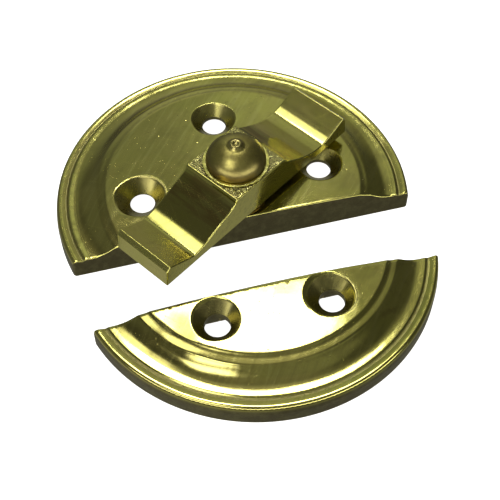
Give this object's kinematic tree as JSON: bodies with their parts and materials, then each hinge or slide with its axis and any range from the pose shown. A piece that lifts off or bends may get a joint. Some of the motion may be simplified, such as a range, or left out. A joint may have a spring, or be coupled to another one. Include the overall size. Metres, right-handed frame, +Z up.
{
  "type": "window sash lock",
  "caption": "Round moulded brass sash fastener in two half-disc castings: a base with a riveted two-winged turn button, and the keeper it closes over.",
  "frame": {"origin": "middle of the outline box on the plane that both plates' mounting faces lie in", "axes": "+Z up out of the mounting faces; the straight chord faces run along X, the base with the turn button is on the +Y side and the keeper on the -Y side"},
  "size_m": [0.054, 0.065, 0.0168],
  "materials": {
    "cast_brass": "cast, polished on top and lightly tarnished, dull on the chord faces and back",
    "button_brass": "polished with fine buffing lines",
    "rivet_brass": "turned and aged to a satin brown",
    "spring_bronze": "rolled strip, satin"
  },
  "bodies": {
    "base": {"base_plate": "cast_brass", "pivot_rivet": "rivet_brass", "head_washer": "button_brass", "wave_spring": "spring_bronze", "back_washer": "rivet_brass"},
    "lever": {"turn_lever": "button_brass"},
    "keeper": {"keeper_plate": "cast_brass"}
  },
  "joints": [
    {"name": "lever_turn", "type": "hinge", "parent": "base", "child": "lever", "pos_m": [0, 0.00335, 0], "axis": [0, 0, 1], "continuous": true},
    {"name": "keeper_close", "type": "slide", "parent": "base", "child": "keeper", "axis": [-0.0563, 0.9984, 0], "range_m": [0, 0.01102]}
  ]
}
